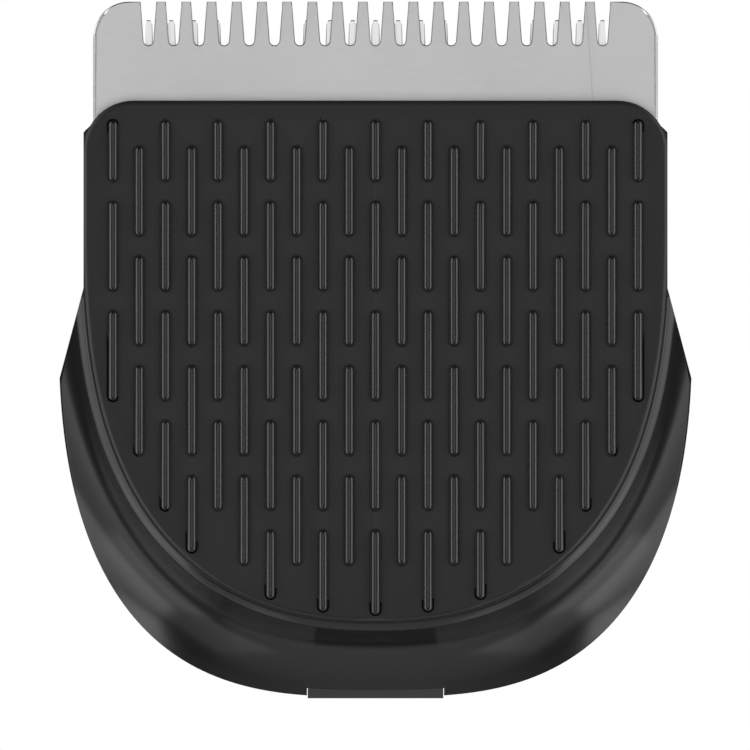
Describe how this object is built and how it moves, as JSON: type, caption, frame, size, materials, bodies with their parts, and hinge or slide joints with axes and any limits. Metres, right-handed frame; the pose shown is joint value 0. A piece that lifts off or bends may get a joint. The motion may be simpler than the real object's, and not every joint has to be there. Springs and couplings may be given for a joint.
{
  "type": "clipper blade head",
  "caption": "Detachable hair clipper blade head with a toothed steel blade, a sliding cutter behind it, a ribbed front cover and a flared rear housing.",
  "frame": {"origin": "middle of the rear rim, in the plane where the head meets its handle, level with the rim's widest points", "axes": "+X across the blade, +Y out of the open rear, +Z towards the tooth tips; the ribbed cover faces -Y"},
  "size_m": [0.0448, 0.0201, 0.0493],
  "materials": {
    "cover_plastic": "matt dark grey moulded plastic",
    "grip_rubber": "satin dark rubber",
    "housing_plastic": "satin black moulded plastic",
    "blade_steel": "fine satin stainless steel",
    "cutter_steel": "polished stainless steel",
    "screw_steel": "plated steel",
    "pin_steel": "ground steel",
    "frame_plastic": "matt black moulded plastic",
    "rail_steel": "ground steel",
    "carrier_plastic": "natural white low friction plastic",
    "liner_brass": "sintered bronze",
    "rivet_steel": "plain steel",
    "wear_steel": "hardened strip",
    "spring_steel": "drawn spring wire",
    "bridge_plastic": "glass-filled black plastic",
    "clip_steel": "rolled spring strip",
    "seal_rubber": "soft black rubber",
    "gasket_rubber": "soft dark rubber",
    "lug_plastic": "tough black plastic"
  },
  "bodies": {
    "head": {"front_cover": "cover_plastic", "grip_insert": "grip_rubber", "rear_housing": "housing_plastic", "fixed_blade": "blade_steel", "blade_screws": "screw_steel", "locating_pins": "pin_steel", "chassis": "frame_plastic", "guide_rail": "rail_steel", "pressure_spring": "spring_steel", "spring_bridge": "bridge_plastic", "bridge_screws": "screw_steel", "retaining_clip": "clip_steel", "chassis_screws": "screw_steel", "hair_seal": "seal_rubber", "neck_gasket": "gasket_rubber", "hinge_lug": "lug_plastic", "lug_screws": "screw_steel"},
    "cutter": {"moving_blade": "cutter_steel", "cutter_carrier": "carrier_plastic", "slot_liner": "liner_brass", "carrier_rivets": "rivet_steel", "wear_plates": "wear_steel"}
  },
  "joints": [
    {"name": "cutter_slide", "type": "slide", "parent": "head", "child": "cutter", "axis": [1, 0, 0], "range_m": [-0.0012, 0.0012]}
  ]
}
